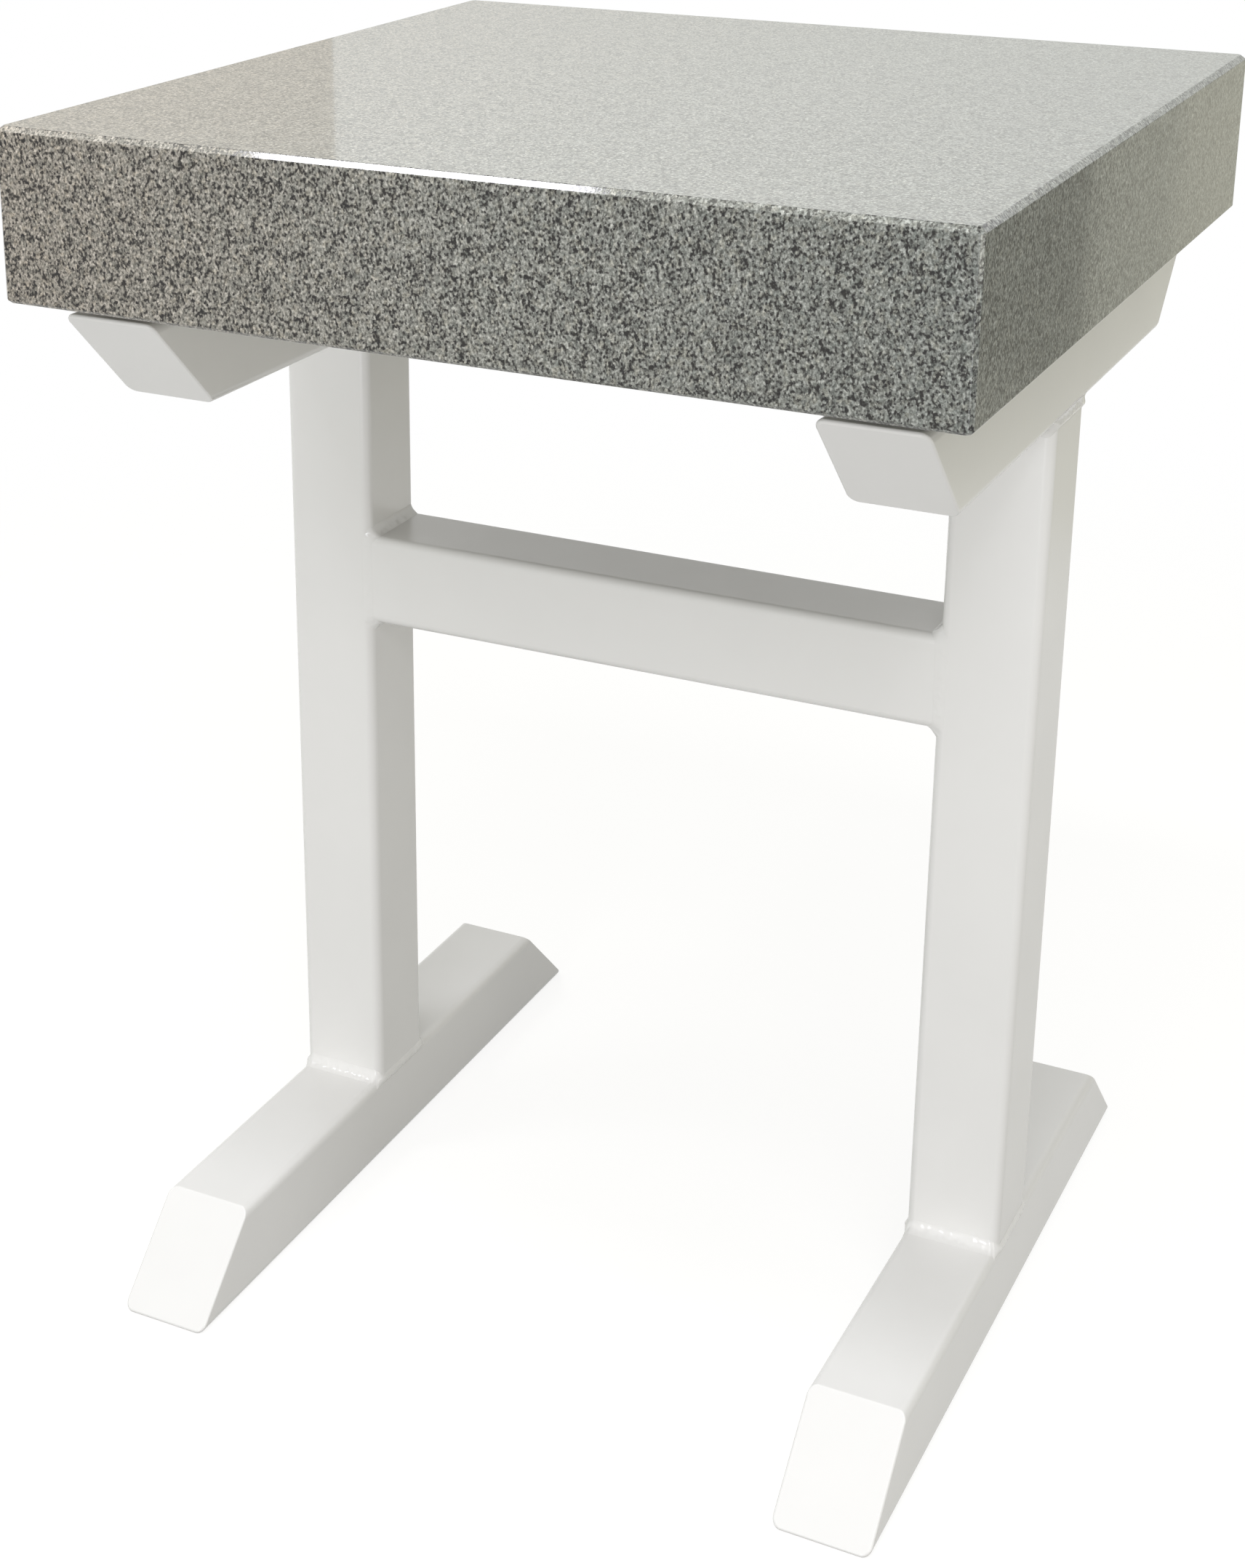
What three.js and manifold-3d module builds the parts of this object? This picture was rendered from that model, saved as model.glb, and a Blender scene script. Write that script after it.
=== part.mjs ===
// Weighing balance table: a thick granite slab lying on rubber pads, carried by a welded frame of square steel tube.
// Millimetres, +Z up, front towards -Y, origin on the floor under the middle of the slab.
import * as THREE from 'three';
import { mergeVertices } from 'three/addons/utils/BufferGeometryUtils.js';
import { ParametricGeometry } from 'three/addons/geometries/ParametricGeometry.js';
import Module from 'manifold-3d';

// Granite slab
const SLAB_WIDTH = 555;
const SLAB_DEPTH = 555;
const SLAB_THICKNESS = 99;
const SLAB_CHAMFER = 3; // polished flat along the top edges
const SLAB_ARRIS = 2; // eased upright and lower edges

// Square tube, used for every member of the frame
const TUBE_SIDE = 60;
const TUBE_WALL = 3;
const TUBE_RADIUS = 6; // outer corner radius

// Welded frame
const FRAME_HEIGHT = 660; // floor to the top of the beams
const POST_PITCH = 444; // between the centre lines of the two posts
const FOOT_LENGTH = 522; // along the floor, over the end plates
const BEAM_LENGTH = 522; // along the top, over the end plates
const STRETCHER_HEIGHT = 434; // floor to the stretcher's centre line
const MITRE_ANGLE = 45; // degrees between an end plate and the upright
const PLATE_THICKNESS = 3;
const PLATE_SEAM = 0.3; // gap left between a plate and the mitred end of its tube

// Rubber pads between beams and slab
const PAD_THICKNESS = 7;
const PAD_WIDTH = 44;
const PAD_LENGTH = 70;
const PAD_RADIUS = 5;
const PAD_INSET = 25; // from the end of the beam's top to the pad

// Weld beads
const BEAD_RADIUS = 6;
const BEAD_PROUD = 1.2; // how far a bead stands out of a groove between flush faces
const BEAD_CLEARANCE = 0.3; // between a bead and the tubes that it joins
const BEAD_STEPS = 64; // round the tube
const BEAD_SIDES = 12; // round the bead

const CORNER_SEGMENTS = 4;

const GRANITE = { color: 0xa9a8a3, roughness: 0.25, metalness: 0 };
const POWDER_COAT = { color: 0xeeeeea, roughness: 0.45, metalness: 0 };
const RUBBER = { color: 0x242424, roughness: 0.9, metalness: 0 };

// Axes of a piece drawn in X and Y and extruded along Z, laid along the object's Y or X by a cyclic turn.
const ALONG_Y = new THREE.Matrix4().makeBasis(
  new THREE.Vector3(0, 0, 1),
  new THREE.Vector3(1, 0, 0),
  new THREE.Vector3(0, 1, 0),
);
const ALONG_X = new THREE.Matrix4().makeBasis(
  new THREE.Vector3(0, 1, 0),
  new THREE.Vector3(0, 0, 1),
  new THREE.Vector3(1, 0, 0),
);

const wasm = await Module();
wasm.setup();

const table = new THREE.Group();

function addPiece(name, geometry, finish) {
  geometry.computeVertexNormals();
  const mesh = new THREE.Mesh(geometry, new THREE.MeshStandardMaterial(finish));
  mesh.name = name;
  table.add(mesh);
  return mesh;
}

// A rectangle with rounded corners, centred on the origin, drawn counter-clockwise.
function roundedRectangle(width, height, radius, PathClass = THREE.Shape) {
  const x = width / 2 - radius;
  const y = height / 2 - radius;
  const path = new PathClass();
  path.moveTo(-x, -y - radius);
  path.lineTo(x, -y - radius);
  path.absarc(x, -y, radius, -Math.PI / 2, 0, false);
  path.lineTo(x + radius, y);
  path.absarc(x, y, radius, 0, Math.PI / 2, false);
  path.lineTo(-x, y + radius);
  path.absarc(-x, y, radius, Math.PI / 2, Math.PI, false);
  path.lineTo(-x - radius, -y);
  path.absarc(-x, -y, radius, Math.PI, 1.5 * Math.PI, false);
  return path;
}

// The section of the square tube, hollow or as the solid outline, grown all round by a clearance.
function tubeSection({ hollow = true, grow = 0 } = {}) {
  const side = TUBE_SIDE + 2 * grow;
  const section = roundedRectangle(side, side, TUBE_RADIUS + grow);
  if (hollow) {
    const inside = TUBE_SIDE - 2 * TUBE_WALL;
    section.holes.push(roundedRectangle(inside, inside, TUBE_RADIUS - TUBE_WALL, THREE.Path));
  }
  return section;
}

// Extrudes a section between two end planes, each given as its Z over the section's X.
function prism(section, startAt, endAt) {
  const geometry = new THREE.ExtrudeGeometry(section, { depth: 1, bevelEnabled: false, curveSegments: CORNER_SEGMENTS });
  const position = geometry.attributes.position;
  for (let i = 0; i < position.count; i += 1) {
    const x = position.getX(i);
    position.setZ(i, position.getZ(i) > 0.5 ? endAt(x) : startAt(x));
  }
  return geometry;
}

function straightPrism(section, start, end) {
  return prism(section, () => start, () => end);
}

// Granite slab: one outline with eased corners, drawn in at its lower arris and at the flat along its top edges.
function slabGeometry() {
  const x = SLAB_WIDTH / 2;
  const y = SLAB_DEPTH / 2;
  const outline = new THREE.Shape([
    new THREE.Vector2(-x + SLAB_ARRIS, -y),
    new THREE.Vector2(x - SLAB_ARRIS, -y),
    new THREE.Vector2(x, -y + SLAB_ARRIS),
    new THREE.Vector2(x, y - SLAB_ARRIS),
    new THREE.Vector2(x - SLAB_ARRIS, y),
    new THREE.Vector2(-x + SLAB_ARRIS, y),
    new THREE.Vector2(-x, y - SLAB_ARRIS),
    new THREE.Vector2(-x, -y + SLAB_ARRIS),
  ]);
  const layers = [
    { height: 0, drawnIn: SLAB_ARRIS },
    { height: SLAB_ARRIS, drawnIn: 0 },
    { height: SLAB_THICKNESS - SLAB_CHAMFER, drawnIn: 0 },
    { height: SLAB_THICKNESS, drawnIn: SLAB_CHAMFER },
  ];
  const steps = layers.length - 1;
  const geometry = new THREE.ExtrudeGeometry(outline, { depth: steps, steps, bevelEnabled: false });
  const position = geometry.attributes.position;
  for (let i = 0; i < position.count; i += 1) {
    const { height, drawnIn } = layers[Math.round(position.getZ(i))];
    const px = position.getX(i);
    const py = position.getY(i);
    position.setXYZ(i, px - Math.sign(px) * drawnIn, py - Math.sign(py) * drawnIn, height);
  }
  return geometry;
}

// A foot or a beam: a tube along Y with both ends mitred, closed by plates that lie flush with its faces.
// longSide is -1 where the rail is longest along its underside and +1 where it is longest along its top.
function addRail(name, platePrefix, length, longSide, x, centreHeight) {
  const mitre = THREE.MathUtils.degToRad(MITRE_ANGLE);
  const plateRun = PLATE_THICKNESS / Math.cos(mitre);
  const seamRun = PLATE_SEAM / Math.cos(mitre);
  const reach = (height) => length / 2 - (TUBE_SIDE / 2 - longSide * height) * Math.tan(mitre);
  const plateBack = (height) => reach(height) - plateRun;
  const tubeEnd = (height) => plateBack(height) - seamRun;
  const plateSection = tubeSection({ hollow: false });
  const pieces = {
    [name]: prism(tubeSection(), (h) => -tubeEnd(h), tubeEnd),
    [platePrefix('front')]: prism(plateSection, (h) => -reach(h), (h) => -plateBack(h)),
    [platePrefix('rear')]: prism(plateSection, plateBack, reach),
  };
  for (const [pieceName, geometry] of Object.entries(pieces)) {
    addPiece(pieceName, geometry.applyMatrix4(ALONG_Y), POWDER_COAT).position.set(x, 0, centreHeight);
  }
}

function toSolid(geometry) {
  geometry.deleteAttribute('normal');
  geometry.deleteAttribute('uv');
  const merged = mergeVertices(geometry);
  return new wasm.Manifold(new wasm.Mesh({
    numProp: 3,
    vertProperties: new Float32Array(merged.attributes.position.array),
    triVerts: new Uint32Array(merged.index.array),
  }));
}

function toGeometry(solid) {
  const { vertProperties, triVerts } = solid.getMesh();
  const geometry = new THREE.BufferGeometry();
  geometry.setAttribute('position', new THREE.BufferAttribute(vertProperties, 3));
  geometry.setIndex(new THREE.BufferAttribute(triVerts, 1));
  return geometry;
}

// The bead where the end of one tube is welded to the face of another of the same size. The butting tube stands on
// Z = 0 and the carrying tube runs along Y below it. Across Y the bead is a fillet on the carrying tube's flat face.
// Along X the two tubes' sides are flush, and the bead fills the groove that the carrying tube's round corner leaves.
function weldGeometry() {
  const sunk = BEAD_RADIUS - BEAD_PROUD;
  const route = roundedRectangle(TUBE_SIDE - 2 * sunk, TUBE_SIDE, TUBE_RADIUS + BEAD_RADIUS / 2);
  const beadSurface = (u, v, target) => {
    const centre = route.getPointAt(u % 1);
    const tangent = route.getTangentAt(u % 1);
    const angle = 2 * Math.PI * (v % 1);
    const out = BEAD_RADIUS * Math.cos(angle);
    target.set(centre.x + tangent.y * out, centre.y - tangent.x * out, BEAD_RADIUS * Math.sin(angle));
  };
  const bead = toSolid(new ParametricGeometry(beadSurface, BEAD_STEPS, BEAD_SIDES));
  const outline = tubeSection({ hollow: false, grow: BEAD_CLEARANCE });
  const buttingTube = toSolid(straightPrism(outline, -BEAD_CLEARANCE, TUBE_SIDE));
  const carryingTube = toSolid(
    straightPrism(outline, -TUBE_SIDE, TUBE_SIDE).applyMatrix4(ALONG_Y).translate(0, 0, -TUBE_SIDE / 2),
  );
  return toGeometry(bead.subtract(buttingTube).subtract(carryingTube));
}

addPiece('granite_slab', slabGeometry(), GRANITE).position.z = FRAME_HEIGHT + PAD_THICKNESS;

const stretcherHalf = (POST_PITCH - TUBE_SIDE) / 2;
const stretcher = straightPrism(tubeSection(), -stretcherHalf, stretcherHalf).applyMatrix4(ALONG_X);
addPiece('stretcher', stretcher, POWDER_COAT).position.z = STRETCHER_HEIGHT;

const weld = weldGeometry();

for (const [side, sign] of [['left', -1], ['right', 1]]) {
  const x = sign * POST_PITCH / 2;

  addRail(`${side}_foot`, (end) => `${side}_${end}_foot_plate`, FOOT_LENGTH, -1, x, TUBE_SIDE / 2);
  addRail(`${side}_top_beam`, (end) => `${side}_${end}_beam_plate`, BEAM_LENGTH, 1, x, FRAME_HEIGHT - TUBE_SIDE / 2);

  const post = straightPrism(tubeSection(), TUBE_SIDE, FRAME_HEIGHT - TUBE_SIDE);
  addPiece(`${side}_post`, post, POWDER_COAT).position.x = x;

  addPiece(`${side}_foot_weld`, weld.clone(), POWDER_COAT).position.set(x, 0, TUBE_SIDE);
  const beamWeld = addPiece(`${side}_beam_weld`, weld.clone(), POWDER_COAT);
  beamWeld.position.set(x, 0, FRAME_HEIGHT - TUBE_SIDE);
  beamWeld.rotation.y = Math.PI;
  const stretcherWeld = addPiece(`${side}_stretcher_weld`, weld.clone().applyMatrix4(ALONG_X), POWDER_COAT);
  stretcherWeld.position.set(sign * stretcherHalf, 0, STRETCHER_HEIGHT);
  stretcherWeld.rotation.z = sign > 0 ? Math.PI : 0;

  for (const [end, direction] of [['front', -1], ['rear', 1]]) {
    const y = direction * (BEAM_LENGTH / 2 - PAD_INSET - PAD_LENGTH / 2);
    const pad = straightPrism(roundedRectangle(PAD_WIDTH, PAD_LENGTH, PAD_RADIUS), 0, PAD_THICKNESS);
    addPiece(`${side}_${end}_pad`, pad, RUBBER).position.set(x, y, FRAME_HEIGHT);
  }
}

export default table;
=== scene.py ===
"""Weighing balance table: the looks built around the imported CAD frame, for Blender.

A thick granite slab lies on four rubber pads, on a welded and powder-coated frame of square steel tube.
Sizes of the table are in millimetres and become metres where a mesh is made, and those of the studio are
in metres. The front is towards -Y and up is +Z.
"""

from __future__ import annotations

import logging
import math
from collections.abc import Iterable, Mapping, Sequence
from dataclasses import dataclass, replace
from enum import Enum
from typing import Any

import bpy
from bpy.types import ID, Material, Node, NodeSocket, NodeTree, Object
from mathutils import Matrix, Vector

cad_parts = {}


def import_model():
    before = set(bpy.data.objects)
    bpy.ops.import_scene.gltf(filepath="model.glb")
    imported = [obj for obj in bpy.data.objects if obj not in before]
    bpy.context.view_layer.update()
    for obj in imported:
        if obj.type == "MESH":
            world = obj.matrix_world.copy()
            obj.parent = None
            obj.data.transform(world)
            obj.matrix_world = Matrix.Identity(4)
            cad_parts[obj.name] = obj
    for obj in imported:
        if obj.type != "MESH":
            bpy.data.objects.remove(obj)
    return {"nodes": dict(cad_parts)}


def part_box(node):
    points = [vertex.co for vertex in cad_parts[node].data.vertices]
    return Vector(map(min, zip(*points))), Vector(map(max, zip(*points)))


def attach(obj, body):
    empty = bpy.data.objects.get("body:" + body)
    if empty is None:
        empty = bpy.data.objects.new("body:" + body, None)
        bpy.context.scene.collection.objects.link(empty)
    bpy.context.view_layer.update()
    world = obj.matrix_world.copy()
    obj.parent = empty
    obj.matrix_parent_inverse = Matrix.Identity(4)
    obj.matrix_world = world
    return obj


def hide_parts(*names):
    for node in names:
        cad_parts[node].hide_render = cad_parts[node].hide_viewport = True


LOG = logging.getLogger("balance_table")

MM = 0.001
BODY = "root"

# The radians that Blender's wave texture turns through in one unit at scale 1
WAVE_TURN = 20.0

Outline = list[tuple[float, float, float, float]]


class Named(Enum):
    """Options whose names are parts of the CAD nodes' names."""

    @property
    def word(self) -> str:
        """The option's name as the CAD nodes write it."""
        return self.name.lower()


class Side(Named):
    """The two uprights of the frame, by the sign of their X."""

    LEFT = -1
    RIGHT = 1


class RailKind(Named):
    """A foot is longest along the floor and a beam along its top. The value is the long side's sign."""

    FOOT = -1
    BEAM = 1


class Axis(Enum):
    """The direction that a tube runs in. U and V lie across it and W along it, always in cyclic order."""

    X = "x"
    Y = "y"
    Z = "z"

    def place(self, u: float, v: float, w: float) -> Vector:
        """Turn section coordinates into the object's frame.

        Args:
            u: first coordinate across the tube.
            v: second coordinate across the tube.
            w: coordinate along the tube.

        Returns:
            The same point, or direction, as X, Y and Z.
        """
        return Vector({Axis.X: (w, u, v), Axis.Y: (v, w, u), Axis.Z: (u, v, w)}[self])


def linear(code: str) -> tuple[float, float, float, float]:
    """Turn an sRGB hex colour into the linear values that Blender's sockets hold.

    Args:
        code: the colour, as in "#c0ffee".

    Returns:
        Red, green, blue and an alpha of 1.
    """
    parts = [int(code[i : i + 2], 16) / 255 for i in (1, 3, 5)]
    red, green, blue = (c / 12.92 if c <= 0.04045 else ((c + 0.055) / 1.055) ** 2.4 for c in parts)
    return red, green, blue, 1.0


def per_metre(size: float) -> float:
    """The scale at which a texture's cell or wave is as wide as a size in millimetres."""
    return 1 / (size * MM)


def add_node(
    tree: NodeTree,
    kind: str,
    inputs: Mapping[str | int, Any] | None = None,
    stops: Sequence[tuple[float, str]] = (),
    **settings: Any,
) -> Node:
    """Add a node to a shader or geometry tree.

    Args:
        tree: the tree that gets the node.
        kind: the node's Blender type.
        inputs: value, source socket or source node for each input, by its name or number. A node stands for
            its first output in use.
        stops: place and hex colour of each stop of a colour ramp.
        settings: the node's own properties.

    Returns:
        The new node.
    """
    node = tree.nodes.new(kind)
    for name, value in settings.items():
        setattr(node, name, value)
    for key, value in (inputs or {}).items():
        if isinstance(value, Node):
            value = next(output for output in value.outputs if output.enabled)
        if isinstance(value, NodeSocket):
            tree.links.new(value, node.inputs[key])
        else:
            node.inputs[key].default_value = value
    for number, (place, code) in enumerate(stops):
        elements = node.color_ramp.elements
        element = elements[number] if number < len(elements) else elements.new(place)
        element.position = place
        element.color = linear(code)
    return node


def blank_material(name: str) -> tuple[Material, NodeTree, NodeSocket]:
    """Make a material whose tree holds only the Object coordinates.

    Args:
        name: what the material is.

    Returns:
        The material, its tree and the socket with the coordinates.
    """
    material = bpy.data.materials.new(name)
    material.use_nodes = True
    tree = material.node_tree
    tree.nodes.clear()
    return material, tree, add_node(tree, "ShaderNodeTexCoord").outputs["Object"]


def add_object(name: str, data: ID) -> Object:
    """Put a mesh, a light or a camera into the scene.

    Args:
        name: the object's name.
        data: what it shows.

    Returns:
        The object, at the origin.
    """
    thing = bpy.data.objects.new(name, data)
    bpy.context.scene.collection.objects.link(thing)
    return thing


def freeze(thing: Object) -> Object:
    """Turn what an object's modifiers give into its own plain mesh.

    Args:
        thing: a mesh object with modifiers.

    Returns:
        The same object, without modifiers.
    """
    graph = bpy.context.evaluated_depsgraph_get()
    mesh = bpy.data.meshes.new_from_object(
        thing.evaluated_get(graph), preserve_all_data_layers=True, depsgraph=graph
    )
    before = thing.data
    thing.modifiers.clear()
    thing.data = mesh
    mesh.name = thing.name
    bpy.data.meshes.remove(before)
    return thing


def geometry_tree(name: str, inputs: Mapping[str, str]) -> tuple[NodeTree, Any]:
    """Make a Geometry Nodes tree that only has its sockets yet.

    Args:
        name: what the tree makes.
        inputs: the kind of each named input, with the geometry that it starts from first.

    Returns:
        The tree and its inputs' sockets by name.
    """
    tree = bpy.data.node_groups.new(name, "GeometryNodeTree")
    tree.is_modifier = True
    for label, kind in inputs.items():
        tree.interface.new_socket(label, in_out="INPUT", socket_type=f"NodeSocket{kind}")
    tree.interface.new_socket("Result", in_out="OUTPUT", socket_type="NodeSocketGeometry")
    return tree, add_node(tree, "NodeGroupInput").outputs


def grow(thing: Object, tree: NodeTree, values: Mapping[str, Any]) -> Object:
    """Run a Geometry Nodes tree on an object and keep the result as a plain mesh.

    Args:
        thing: the object that the tree starts from.
        tree: the tree.
        values: a value for each of its named inputs but the first.

    Returns:
        The same object, without modifiers.
    """
    modifier = thing.modifiers.new(tree.name, "NODES")
    modifier.node_group = tree
    for item in tree.interface.items_tree:
        if item.name in values:
            modifier[item.identifier] = values[item.name]
    return freeze(thing)


def span(nodes: Iterable[str]) -> tuple[Vector, Vector]:
    """Find the box round some CAD nodes.

    Args:
        nodes: the nodes' names.

    Returns:
        Lowest and highest corner, in millimetres.
    """
    corners = [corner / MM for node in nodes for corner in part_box(node)]
    low = Vector(min(c[i] for c in corners) for i in range(3))
    high = Vector(max(c[i] for c in corners) for i in range(3))
    return low, high


def seat(piece: Object, nodes: Sequence[str]) -> Object:
    """Let a finished piece stand for its CAD nodes and ride on the table's one body.

    Args:
        piece: the finished piece.
        nodes: the CAD nodes that it stands for.

    Returns:
        The same piece.
    """
    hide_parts(*nodes)
    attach(piece, BODY)
    return piece


class Skin:
    """A closed mesh in the making, in millimetres, with the true normal at every corner of every face."""

    def __init__(self) -> None:
        """Start with nothing."""
        self.points: list[Vector] = []
        self.normals: list[Vector] = []
        self.faces: list[list[int]] = []
        self.corner_normals: list[Vector] = []

    def ring(self, stations: Iterable[tuple[Vector, Vector]]) -> list[int]:
        """Add a ring of points.

        Args:
            stations: each point with its normal.

        Returns:
            The points' numbers.
        """
        start = len(self.points)
        for point, normal in stations:
            self.points.append(point)
            self.normals.append(normal)
        return list(range(start, len(self.points)))

    def face(self, corners: Sequence[int], normal: Vector | None = None) -> None:
        """Add a face, flat where a normal is given and otherwise shaded by its points' normals."""
        self.faces.append(list(corners))
        self.corner_normals.extend(normal or self.normals[c] for c in corners)

    def tube(self, rings: Sequence[Sequence[int]], way: Vector | None = None) -> None:
        """Join each ring to the next by faces and close both ends.

        Args:
            rings: rings of equal length, in their order along the tube.
            way: the tube's direction where its ends are flat. Otherwise its points' normals shade them.
        """
        for near, far in zip(rings, rings[1:]):
            for i in range(len(near)):
                j = (i + 1) % len(near)
                self.face((near[i], near[j], far[j], far[i]))
        self.face(rings[0][::-1], None if way is None else -way)
        self.face(rings[-1], way)

    def to_object(self, name: str, *materials: Material) -> Object:
        """Make the Blender object.

        Args:
            name: the piece's name.
            materials: its materials.

        Returns:
            The object, at the origin, in metres.
        """
        mesh = bpy.data.meshes.new(name)
        mesh.from_pydata([p * MM for p in self.points], [], self.faces)
        mesh.polygons.foreach_set("use_smooth", [True] * len(self.faces))
        mesh.normals_split_custom_set([n.normalized() for n in self.corner_normals])
        for material in materials:
            mesh.materials.append(material)
        return add_object(name, mesh)


def rounded_outline(half_u: float, half_v: float, radius: float, steps: int) -> Outline:
    """Walk round a rectangle with round corners, counter-clockwise.

    Args:
        half_u: half its size along U.
        half_v: half its size along V.
        radius: of its corners.
        steps: facets in each corner.

    Returns:
        U, V and the outward normal's U and V at each point.
    """
    stations = []
    for turn, (sign_u, sign_v) in enumerate(((1, -1), (1, 1), (-1, 1), (-1, -1))):
        for step in range(steps + 1):
            angle = math.pi / 2 * (turn - 1 + step / steps)
            out_u = math.cos(angle)
            out_v = math.sin(angle)
            u = sign_u * (half_u - radius) + radius * out_u
            v = sign_v * (half_v - radius) + radius * out_v
            stations.append((u, v, out_u, out_v))
    return stations


@dataclass(frozen=True)
class Relief:
    """A fine relief that only the light shows, with its depth in millimetres."""

    depth: float
    strength: float

    def cover(
        self, tree: NodeTree, height: Node | NodeSocket, looks: Mapping[str, Any], hollow: bool = False
    ) -> None:
        """End a material's tree with a shader that has this relief.

        Args:
            tree: the material's tree.
            height: the relief's pattern.
            looks: the shader's inputs.
            hollow: whether the pattern goes in and not out.
        """
        sizes = {"Strength": self.strength, "Distance": self.depth * MM}
        bump = add_node(tree, "ShaderNodeBump", {"Height": height, **sizes}, invert=hollow)
        shader = add_node(tree, "ShaderNodeBsdfPrincipled", {**looks, "Normal": bump})
        add_node(tree, "ShaderNodeOutputMaterial", {"Surface": shader})


class StoneSurface(Enum):
    """How a face of the slab was finished."""

    POLISHED = "polished_biotite_granite"
    SAWN = "sawn_biotite_granite"


@dataclass(frozen=True)
class Granite:
    """Fine-grained grey biotite granite.

    Pale feldspar and glassy grey quartz lock together in grains of a millimetre or two, with black flecks
    of biotite in loose clusters. A painted warm light makes the slab paler and warmer at its left end, and
    painted shade makes it cooler and darker at its right.
    The polish shows these colours under a mirror that grows strong at a low angle. The sawn underside is
    paler and dull, because dry unpolished stone scatters more light.
    """

    surface: StoneSurface
    quartz: str = "#5c5d57"
    grey_feldspar: str = "#9fa19e"
    white_feldspar: str = "#e4e5e3"
    cool_crystal: str = "#cdd0cf"
    clear_crystal: str = "#ffffff"
    grey_crystal: str = "#e9e9e8"
    warm_crystal: str = "#fbf8f2"
    biotite: str = "#080503"
    weathered_biotite: str = "#1d1911"
    # Painted light and shade along the slab, from the warm lit left end to the darker right end
    left_tint: str = "#fdefe3"
    middle_tint: str = "#ebe9e3"
    right_tint: str = "#d8dad6"
    middle: float = 0.55
    crystal: float = 2.3
    grain: float = 1.45
    fleck: float = 1.5
    fleck_level: float = 0.463
    fleck_edge: float = 0.155
    fleck_seed: float = 7.0
    cluster: float = 9.0
    gather: float = 0.15
    ragged: float = 0.8
    foliation: float = 25.0
    flatten: float = 0.8
    drift_reach: float = 280.0
    ior: float = 1.54
    polish: float = 0.05
    pits: Relief = Relief(0.02, 0.12)
    dull: float = 0.8
    dust: str = "#bdbbb5"
    dust_share: float = 0.45
    saw_mark: float = 56.55
    saw_relief: Relief = Relief(0.2, 0.4)

    def material(self) -> Material:
        """Build the stone for this surface.

        Returns:
            The material.
        """
        material, tree, where = blank_material(self.surface.value)

        # The grains lie along a steep foliation, with ragged borders
        lean = (0.0, math.radians(self.foliation), 0.0)
        squash = (1.0, 1.0, self.flatten)
        laid = add_node(tree, "ShaderNodeMapping", {"Vector": where, "Rotation": lean, "Scale": squash})
        shake = add_node(
            tree, "ShaderNodeTexNoise", {"Vector": laid, "Scale": per_metre(self.ragged), "Detail": 2.0}
        )
        shift = {0: shake.outputs["Color"], 1: (self.ragged * MM,) * 3, 2: laid}
        ragged = add_node(tree, "ShaderNodeVectorMath", shift, operation="MULTIPLY_ADD")

        # Quartz and feldspar run into each other, and each crystal has its own cast
        sizes = {"Scale": per_metre(self.grain), "Detail": 3.0, "Roughness": 0.6}
        grains = add_node(tree, "ShaderNodeTexNoise", {"Vector": ragged, **sizes})
        minerals = ((0.3, self.quartz), (0.5, self.grey_feldspar), (0.7, self.white_feldspar))
        matrix = add_node(tree, "ShaderNodeValToRGB", {0: grains}, minerals)
        cells = add_node(tree, "ShaderNodeTexVoronoi", {"Vector": ragged, "Scale": per_metre(self.crystal)})
        pick = add_node(tree, "ShaderNodeSeparateColor", {0: cells.outputs["Color"]})
        casts = (self.cool_crystal, self.clear_crystal, self.grey_crystal, self.warm_crystal)
        cast = add_node(tree, "ShaderNodeValToRGB", {0: pick}, tuple(zip((0.0, 0.35, 0.7, 1.0), casts)))
        feldspar = add_node(tree, "ShaderNodeVectorMath", {0: matrix, 1: cast}, operation="MULTIPLY")

        # Biotite: the peaks of a second noise, more of them where a slower one is high
        sizes = {"W": self.fleck_seed, "Scale": per_metre(self.fleck), "Detail": 2.0}
        peaks = add_node(tree, "ShaderNodeTexNoise", {"Vector": ragged, **sizes}, noise_dimensions="4D")
        crowd = add_node(
            tree, "ShaderNodeTexNoise", {"Vector": where, "Scale": per_metre(self.cluster), "Detail": 1.0}
        )
        more = {0: crowd, 1: self.gather, 2: peaks}
        level = add_node(tree, "ShaderNodeMath", more, operation="MULTIPLY_ADD")
        limit = self.fleck_level + self.gather / 2
        dark = add_node(tree, "ShaderNodeMapRange", {0: level, 1: limit, 2: limit + self.fleck_edge})
        shades = {6: linear(self.biotite), 7: linear(self.weathered_biotite)}
        mica = add_node(tree, "ShaderNodeMix", {0: pick.outputs[1], **shades}, data_type="RGBA")
        stone = add_node(tree, "ShaderNodeMix", {0: dark, 6: feldspar, 7: mica}, data_type="RGBA")

        # Painted light and shade: a warm light painted in makes the slab paler and warmer at its left end,
        # and painted shade makes it cooler and darker at its right
        along = add_node(tree, "ShaderNodeSeparateXYZ", {0: where})
        reach = self.drift_reach * MM
        painted_light_drift = add_node(tree, "ShaderNodeMapRange", {0: along, 1: -reach, 2: reach})
        painted_light_tints = ((0.0, self.left_tint), (self.middle, self.middle_tint), (1.0, self.right_tint))
        painted_light_tint = add_node(tree, "ShaderNodeValToRGB", {0: painted_light_drift}, painted_light_tints)
        colour = add_node(tree, "ShaderNodeVectorMath", {0: stone, 1: painted_light_tint}, operation="MULTIPLY")

        if self.surface is StoneSurface.POLISHED:
            self.polished(tree, colour, dark)
        else:
            self.sawn(tree, colour, where)
        return material

    def polished(self, tree: NodeTree, colour: Node, dark: Node) -> None:
        """Give the mirror polish, in which the soft flecks are a little pitted and half as glossy.

        Args:
            tree: the material's tree.
            colour: the stone's colour.
            dark: 1 on the flecks.
        """
        gloss = add_node(tree, "ShaderNodeMapRange", {0: dark, 3: self.polish, 4: self.polish * 2})
        self.pits.cover(tree, dark, {"Base Color": colour, "Roughness": gloss, "IOR": self.ior}, hollow=True)

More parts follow.
